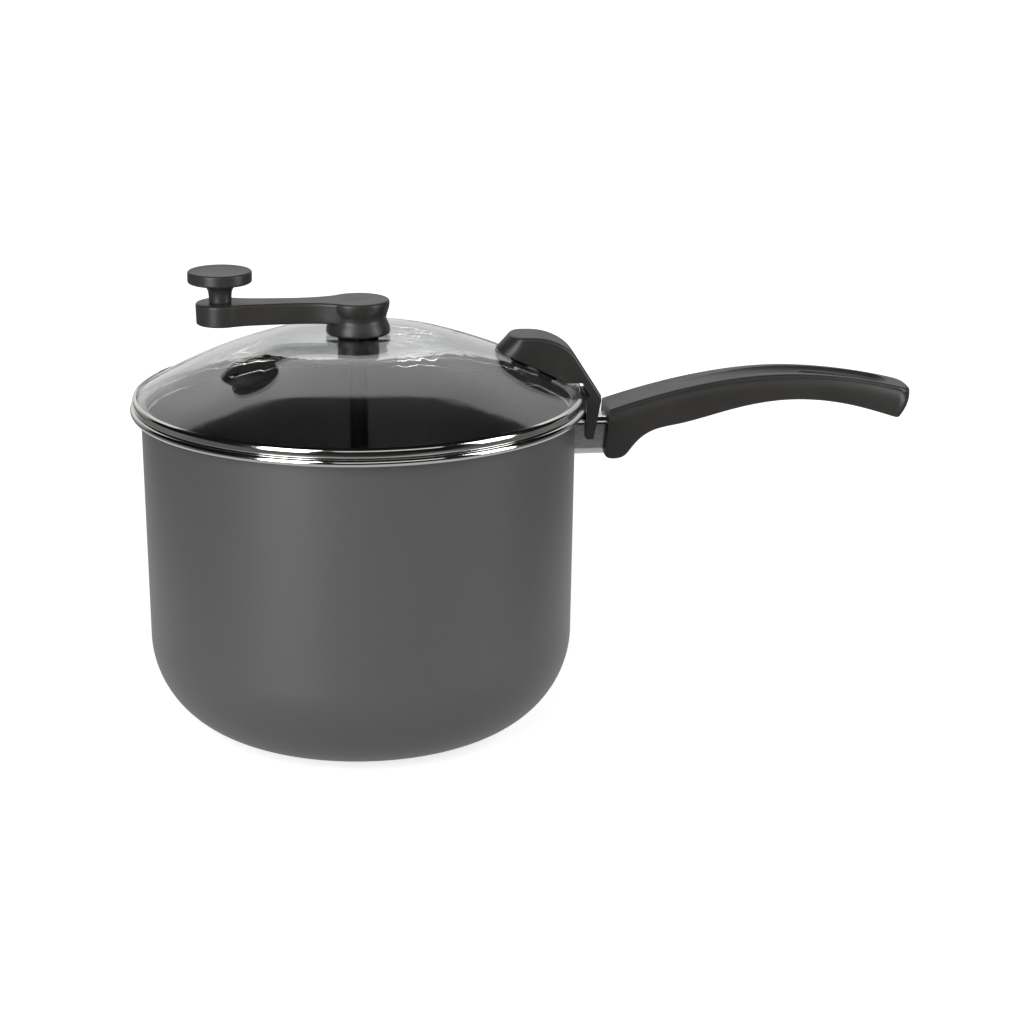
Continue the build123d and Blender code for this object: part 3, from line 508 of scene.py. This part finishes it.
def pan_outline():
    """The drawn pan: base, round corner, tapered wall, rolled rim, and back down inside."""
    neck = (MOUTH_R, NECK_Z)
    inner_neck = (MOUTH_R - SHEET, NECK_Z - SHEET / 2)
    corner = (BASE_R, CORNER_R)
    bead = arc(BEAD_AT, BEAD_R, BEAD_START, BEAD_END - BEAD_START, BEAD_STEPS)
    start = math.radians(BEAD_START)
    leave_bead = (-math.sin(start), math.cos(start))
    outside = arc(corner, CORNER_R, -90.0, 90.0, CORNER_STEPS)
    inside = arc(corner, CORNER_R - SHEET, 0.0, -90.0, CORNER_STEPS)
    points = [(0, 0), (BASE_R / 2, 0), *outside, neck]
    points += sweep_curve(neck, bead[0], (0, 1), leave_bead, NECK_STEPS)
    points += bead
    points += sweep_curve(bead[-1], inner_neck, (-1, 0), (0, -1), INNER_NECK_STEPS)
    return [*points, inner_neck, *inside, (BASE_R / 2, SHEET), (0, SHEET)]


def band_outline():
    """The lid's band: lip on the glass, upright wall, shelf over the rim, skirt with its hem."""
    climb = (-LIP_FALL[0], -LIP_FALL[1])
    bend_at = (BAND_R - BAND_BEND, BAND_BOTTOM + BAND_BEND)
    bend = arc(bend_at, BAND_BEND, 0.0, -90.0, BEND_STEPS)
    inner_bend = arc(bend_at, BAND_BEND - BAND_SHEET, -90.0, 90.0, INNER_BEND_STEPS)
    under_r = FOLD_R - BAND_SHEET
    fold_at = (SKIRT_R + under_r, BAND_BOTTOM - under_r)
    under_fold = arc(fold_at, under_r, 90.0, 90.0, UNDER_FOLD_STEPS)
    fold = arc(fold_at, FOLD_R, 180.0, -90.0, FOLD_STEPS)
    hem_at = (SKIRT_R - HEM_R, SKIRT_BOTTOM + HEM_R)
    hem = arc(hem_at, HEM_R, 0.0, HEM_TURN, HEM_STEPS)
    shoulder = (BAND_R, BAND_SHOULDER)
    inner_shoulder = (BAND_R - BAND_SHEET, BAND_SHOULDER)
    points = [LIP_TIP, LIP_ROOT]
    points += sweep_curve(LIP_ROOT, shoulder, LIP_FALL, (0, -1), SHOULDER_STEPS)
    points += [shoulder, *bend, *under_fold, *hem]
    points += [(SKIRT_R - BAND_SHEET, SKIRT_BOTTOM + HEM_TOP), *fold, *inner_bend]
    points.append(inner_shoulder)
    points += sweep_curve(inner_shoulder, LIP_UNDER_ROOT, (0, 1), climb, INNER_SHOULDER_STEPS)
    return [*points, LIP_UNDER_ROOT, LIP_UNDER_TIP]


def turned_pieces():
    """The pan and the lid's band again, turned finely enough for clean reflections."""
    pan = lathe("pan_turned", pan_outline(), False, pan_finish())
    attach(pan, "pan")
    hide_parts("pan_body")
    steel = turned_steel("band_steel", BAND_COLOUR, 0.08)
    band = lathe("band_turned", band_outline(), True, steel)
    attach(band, "lid")
    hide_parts("lid_band")


# ---------------------------------------------------------------- room
BACK_AZIMUTH = math.radians(4.0)  # middle of the white backdrop, from +Y towards +X
BACK_HALF_WIDTH = math.radians(50.0)
BACK_HEIGHT = math.radians(60.0)
BACK_BRIGHT_AZIMUTH = math.radians(-12.0)  # from the backdrop's middle
BACK_EVEN = math.radians(8.0)
BACK_MIDDLE = 1.40
BACK_SIDE = 0.92
BACK_LEFT = 0.42  # share of the level at the backdrop's left end
BACK_LEFT_FROM = math.radians(-18.0)
BACK_LOW = 0.55  # share of the backdrop's level near the horizon
BACK_LOW_TOP = math.radians(18.0)
BACK_FULL = math.radians(38.0)
BACK_EDGE = (0.985, 1.015)  # blur of the backdrop's edge, as shares of its reach
CEILING = 0.11  # just above the backdrop
CEILING_REACH = 1.13
ROOM_DARK = 0.006
AMBIENT = 0.26

# The floor. Each row has two places in metres, and the levels at and past them.
FLOOR_HALF_SIZE = 6.0
FLOOR_Z = -0.0003
FLOOR_SEEN = (0.25, 0.9, 0.74, 1.0)  # by distance from the axis
FLOOR_BESIDE = (0.20, 0.48, 1.0, 0.22)  # by distance along X
FLOOR_AHEAD = (-0.62, -0.36, 0.04, 1.0)  # by Y
FLOOR_BEYOND = (-0.10, 0.15, 0.50, 0.70)  # by Y
FLOOR_TONE = (0.60, 0.62)

# Lamps: name, azimuth in degrees to the right of the view, height, distance, width, tall,
# radiance.
LAMP_AIM = Vector((0, 0, 0.11))
LAMPS = (
    ("left_box", -46.0, 0.40, 0.80, 0.36, 0.80, 8.6),
    ("right_box", 57.0, 0.40, 0.90, 0.34, 0.80, 6.0),
    ("front_box", 4.0, 0.82, 1.15, 1.20, 0.42, 0.9),
)


def make_world():
    """White backdrop behind the object, dark room elsewhere, even light for rough surfaces."""
    world = bpy.data.worlds.new("room")
    bpy.context.scene.world = world
    world.use_nodes = True
    g = Graph(world.node_tree)
    direction = g.node("ShaderNodeTexCoord").outputs["Generated"]
    x, y, z = g.split(direction)
    azimuth = g.less(g.math("ARCTAN2", x, y), BACK_AZIMUTH)
    elevation = g.math("ARCSINE", z)
    across = g.math("DIVIDE", azimuth, BACK_HALF_WIDTH)
    rise = g.math("DIVIDE", elevation, BACK_HEIGHT)
    reach = g.radius((across, rise))
    side = g.math("ABSOLUTE", g.less(azimuth, BACK_BRIGHT_AZIMUTH))
    white = g.step(side, BACK_EVEN, BACK_HALF_WIDTH, BACK_MIDDLE, BACK_SIDE)
    left = g.step(azimuth, -BACK_HALF_WIDTH, BACK_LEFT_FROM, BACK_LEFT, 1.0)
    white = g.times(white, left)
    white = g.times(white, g.step(elevation, BACK_LOW_TOP, BACK_FULL, BACK_LOW, 1.0))
    ceiling = g.step(reach, 1.0, CEILING_REACH, CEILING, ROOM_DARK)
    edge = g.step(reach, *BACK_EDGE)
    backdrop = g.add(g.times(white, g.less(1.0, edge)), g.times(ceiling, edge))
    path = g.node("ShaderNodeLightPath").outputs
    mirrored = g.larger(path["Is Glossy Ray"], path["Is Transmission Ray"])
    level = g.mix_value(mirrored, AMBIENT, backdrop)
    strength = g.larger(level, path["Is Camera Ray"])
    shader = g.node("ShaderNodeBackground")
    shader.inputs["Color"].default_value = (1, 1, 1, 1)
    g.link(strength, shader.inputs["Strength"])
    output = g.node("ShaderNodeOutputWorld")
    g.link(shader.outputs[0], output.inputs["Surface"])


def make_floor():
    """Pale floor that reads white, keeps the shadow, and is darker in front for mirrors."""
    size = FLOOR_HALF_SIZE
    mesh = bpy.data.meshes.new("floor")
    corners = [(-size, -size, 0), (size, -size, 0), (size, size, 0), (-size, size, 0)]
    mesh.from_pydata(corners, [], [(0, 1, 2, 3)])
    floor = bpy.data.objects.new("floor", mesh)
    floor.location.z = FLOOR_Z
    bpy.context.scene.collection.objects.link(floor)
    made = bpy.data.materials.new("pale_floor")
    made.use_nodes = True
    g = Graph(made.node_tree)
    x, y, z = g.split(g.place())
    path = g.node("ShaderNodeLightPath").outputs
    seen = g.step(g.radius((x, y)), *FLOOR_SEEN)
    beside = g.step(g.math("ABSOLUTE", x), *FLOOR_BESIDE)
    ahead = g.step(y, *FLOOR_AHEAD)
    beyond = g.step(y, *FLOOR_BEYOND)
    mirrored = g.times(g.times(ahead, beyond), beside)
    glow = g.times(path["Is Camera Ray"], seen)
    glow = g.larger(glow, g.times(path["Is Glossy Ray"], mirrored))
    glow = g.larger(glow, path["Is Transmission Ray"])
    emission = g.node("ShaderNodeEmission")
    g.link(glow, emission.inputs["Strength"])
    matt = g.node("ShaderNodeBsdfDiffuse")
    tone = g.mix(g.noise(g.place(), 40.0, 3.0), grey(FLOOR_TONE[0]), grey(FLOOR_TONE[1]))
    g.link(tone, matt.inputs["Color"])
    black = g.node("ShaderNodeBsdfDiffuse")
    black.inputs["Color"].default_value = (0, 0, 0, 1)
    pick = g.node("ShaderNodeMixShader")
    g.link(g.larger(path["Is Glossy Ray"], path["Is Transmission Ray"]), pick.inputs[0])
    g.link(matt.outputs[0], pick.inputs[1])
    g.link(black.outputs[0], pick.inputs[2])
    both = g.node("ShaderNodeAddShader")
    g.link(pick.outputs[0], both.inputs[0])
    g.link(emission.outputs[0], both.inputs[1])
    output = g.node("ShaderNodeOutputMaterial")
    g.link(both.outputs[0], output.inputs["Surface"])
    mesh.materials.append(made)


def softbox(name, azimuth, height, distance, width, tall, radiance):
    """Area lamp aimed at the pan's middle. Azimuth is from the view's side, to its right."""
    angle = math.radians(azimuth) + VIEW_AZIMUTH
    place = Vector((math.sin(angle) * distance, -math.cos(angle) * distance, height))
    data = bpy.data.lights.new(name, "AREA")
    data.shape = "RECTANGLE"
    data.size = width
    data.size_y = tall
    data.energy = radiance * width * tall * math.pi
    lamp = bpy.data.objects.new(name, data)
    lamp.location = place
    lamp.rotation_euler = (LAMP_AIM - place).to_track_quat("-Z", "Y").to_euler()
    lamp.visible_camera = False
    bpy.context.scene.collection.objects.link(lamp)


# ---------------------------------------------------------------- build
make_camera()
make_world()
make_floor()
for lamp_row in LAMPS:
    softbox(*lamp_row)

turned_pieces()
dress(clear_glass(), "lid_glass")
dress(moulded("moulded_grip", 0.022, 0.36, crown=grip_crown), "handle_grip")
dress(moulded("moulded_clip", 0.022, 0.36), "lid_clip")
dress(moulded("moulded_crank", 0.022, 0.36), "crank_arm", "crank_knob")
dress(moulded("moulded_bush", 0.022, 0.42), "hub_bush", "hub_nut")
# The drive shaft is the same black plastic, painted far darker than the rest as painted shade
# for its place inside the covered pan.
dress(moulded("moulded_shaft_painted_shade", 0.004, 0.48), "drive_shaft")
dress(brushed_steel("guard_steel", GUARD_COLOUR, 0.16), "flame_guard")
dress(brushed_steel("bracket_steel", BRACKET_COLOUR, 0.35), "handle_bracket")
dress(
    brushed_steel("screw_steel", SCREW_COLOUR, 0.30),
    "handle_screw",
    "handle_washer",
    "thrust_washer",
    "retaining_ring",
    "knob_pin",
)
dress(
    brushed_steel("wire_steel", SCREW_COLOUR, 0.28),
    "stirrer_wire_left",
    "stirrer_wire_right",
    "stirrer_pin",
)
# The screws and washers under the clip are plain steel, painted near-black as the shade under
# the clip.
dress(brushed_steel("screw_steel_painted_shade", SCREW_PAINTED_SHADE_COLOUR, 0.42), "clip_screws", "clip_washers")
dress(cast_metal(), "stirrer_hub")
dress(silicone(), "clip_gasket", "upper_gasket", "lower_gasket", "knob_washer")

bpy.context.scene.view_settings.view_transform = "Standard"
